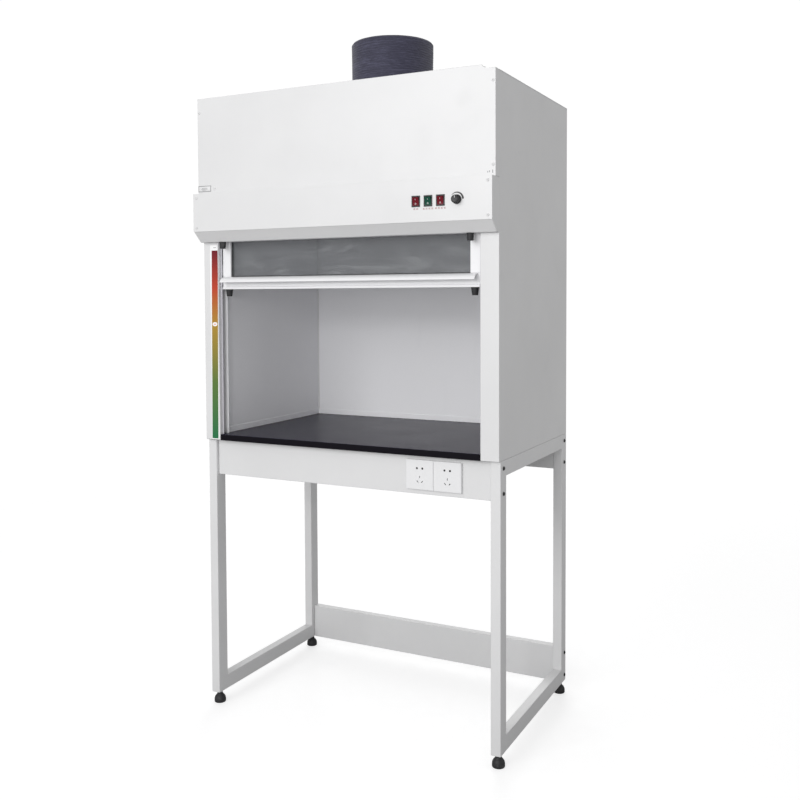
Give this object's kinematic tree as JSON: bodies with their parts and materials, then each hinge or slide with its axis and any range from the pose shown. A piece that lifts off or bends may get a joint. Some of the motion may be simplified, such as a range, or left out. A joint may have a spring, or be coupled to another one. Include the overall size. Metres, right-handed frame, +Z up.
{
  "type": "fume hood",
  "caption": "Bench-height fume hood on a tube stand: steel cabinet, sliding glass sash, black worktop, roof duct sleeve, switches and sockets.",
  "frame": {"origin": "on the floor, under the middle of the outline", "axes": "+Z up, +Y towards the back, +X to the right of someone facing the sash"},
  "size_m": [1.007, 0.686, 2.131],
  "materials": {
    "white_paint": "fine powder coat",
    "black_rubber": "matte",
    "resin_top": "satin phenolic resin",
    "lining": "smooth laminate board",
    "sash_aluminium": "white coated extrusion",
    "clear_glass": "clear",
    "zinc_steel": "zinc plated",
    "black_plastic": "satin",
    "duct_fabric": "ribbed coated fabric",
    "red_rocker": "translucent",
    "green_rocker": "translucent",
    "white_plastic": "satin moulded",
    "printed_film": "printed film"
  },
  "bodies": {
    "cabinet": {"side_frame_left": "white_paint", "side_frame_right": "white_paint", "front_apron": "white_paint", "rear_apron": "white_paint", "rear_stretcher": "white_paint", "side_panel_left": "white_paint", "side_panel_right": "white_paint", "back_panel": "white_paint", "roof_panel": "white_paint", "upper_front_panel": "white_paint", "canopy_shell": "white_paint", "control_panel": "white_paint", "front_post_left": "white_paint", "front_post_right": "white_paint", "lamp_housing": "white_paint", "sash_stop_left": "black_rubber", "sash_stop_right": "black_rubber", "worktop": "resin_top", "liner_left": "lining", "liner_right": "lining", "liner_back": "lining", "ceiling_liner": "lining", "sash_track_left": "sash_aluminium", "sash_track_right": "sash_aluminium", "transom_glass": "clear_glass", "pulley_beam": "zinc_steel", "fan_housing": "zinc_steel", "fan_motor": "zinc_steel", "duct_spigot": "zinc_steel", "sash_cable_left": "zinc_steel", "sash_cable_right": "zinc_steel", "cable_gland": "black_plastic", "switch_housing_fan": "black_plastic", "switch_housing_lamp": "black_plastic", "switch_housing_socket": "black_plastic", "speed_controller": "black_plastic", "duct_sleeve": "duct_fabric", "socket_outlet_left": "white_plastic", "socket_outlet_right": "white_plastic", "height_scale": "printed_film"},
    "sash": {"sash_stile_left": "sash_aluminium", "sash_stile_right": "sash_aluminium", "sash_top_rail": "sash_aluminium", "sash_handle_rail": "sash_aluminium", "sash_glass": "clear_glass", "sash_bumper_left": "black_rubber", "sash_bumper_right": "black_rubber"},
    "counterweight_left": {"counterweight_left": "zinc_steel"},
    "counterweight_right": {"counterweight_right": "zinc_steel"},
    "pulley_left": {"sash_pulley_left": "black_plastic"},
    "pulley_right": {"sash_pulley_right": "black_plastic"},
    "impeller": {"fan_impeller": "black_plastic"},
    "fan_rocker": {"rocker_fan": "red_rocker"},
    "lamp_rocker": {"rocker_lamp": "green_rocker"},
    "socket_rocker": {"rocker_socket": "red_rocker"},
    "knob": {"speed_knob": "black_plastic"},
    "foot_front_left": {"levelling_foot_front_left": "black_rubber"},
    "foot_rear_left": {"levelling_foot_rear_left": "black_rubber"},
    "foot_front_right": {"levelling_foot_front_right": "black_rubber"},
    "foot_rear_right": {"levelling_foot_rear_right": "black_rubber"}
  },
  "joints": [
    {"name": "sash_slide", "type": "slide", "parent": "cabinet", "child": "sash", "axis": [0, 0, 1], "range_m": [-0.4379, 0.088], "deforming": ["sash_cable_left", "sash_cable_right"]},
    {"name": "counterweight_left_slide", "type": "slide", "parent": "cabinet", "child": "counterweight_left", "axis": [0, 0, -1], "range_m": [-0.4385, 0.0885]},
    {"name": "pulley_left_spin", "type": "hinge", "parent": "cabinet", "child": "pulley_left", "pos_m": [-0.472, -0.204, 1.868], "axis": [1, 0, 0], "range_deg": [-115, 560]},
    {"name": "counterweight_right_slide", "type": "slide", "parent": "cabinet", "child": "counterweight_right", "axis": [0, 0, -1], "range_m": [-0.4385, 0.0885]},
    {"name": "pulley_right_spin", "type": "hinge", "parent": "cabinet", "child": "pulley_right", "pos_m": [0.472, -0.204, 1.868], "axis": [1, 0, 0], "range_deg": [-115, 560]},
    {"name": "impeller_spin", "type": "hinge", "parent": "cabinet", "child": "impeller", "pos_m": [0, 0.072, 1.71], "axis": [0, 0, 1], "continuous": true},
    {"name": "fan_rocker_tilt", "type": "hinge", "parent": "cabinet", "child": "fan_rocker", "pos_m": [0.275, -0.3245, 1.5817], "axis": [-1, 0, 0], "range_deg": [0, 22]},
    {"name": "lamp_rocker_tilt", "type": "hinge", "parent": "cabinet", "child": "lamp_rocker", "pos_m": [0.3122, -0.3245, 1.5817], "axis": [-1, 0, 0], "range_deg": [0, 22]},
    {"name": "socket_rocker_tilt", "type": "hinge", "parent": "cabinet", "child": "socket_rocker", "pos_m": [0.3494, -0.3245, 1.5817], "axis": [-1, 0, 0], "range_deg": [0, 22]},
    {"name": "speed_knob_turn", "type": "hinge", "parent": "cabinet", "child": "knob", "pos_m": [0.3984, -0.334, 1.5817], "axis": [0, 1, 0], "range_deg": [0, 270]},
    {"name": "foot_front_left_height", "type": "slide", "parent": "cabinet", "child": "foot_front_left", "axis": [0, 0, -1], "range_m": [0, 0.02]},
    {"name": "foot_rear_left_height", "type": "slide", "parent": "cabinet", "child": "foot_rear_left", "axis": [0, 0, -1], "range_m": [0, 0.02]},
    {"name": "foot_front_right_height", "type": "slide", "parent": "cabinet", "child": "foot_front_right", "axis": [0, 0, -1], "range_m": [0, 0.02]},
    {"name": "foot_rear_right_height", "type": "slide", "parent": "cabinet", "child": "foot_rear_right", "axis": [0, 0, -1], "range_m": [0, 0.02]}
  ],
  "couplings": [
    {"joint": "counterweight_left_slide", "follows": "sash_slide", "ratio": 1},
    {"joint": "pulley_left_spin", "follows": "sash_slide", "rad_per_m": -22.222},
    {"joint": "counterweight_right_slide", "follows": "sash_slide", "ratio": 1},
    {"joint": "pulley_right_spin", "follows": "sash_slide", "rad_per_m": -22.222}
  ]
}
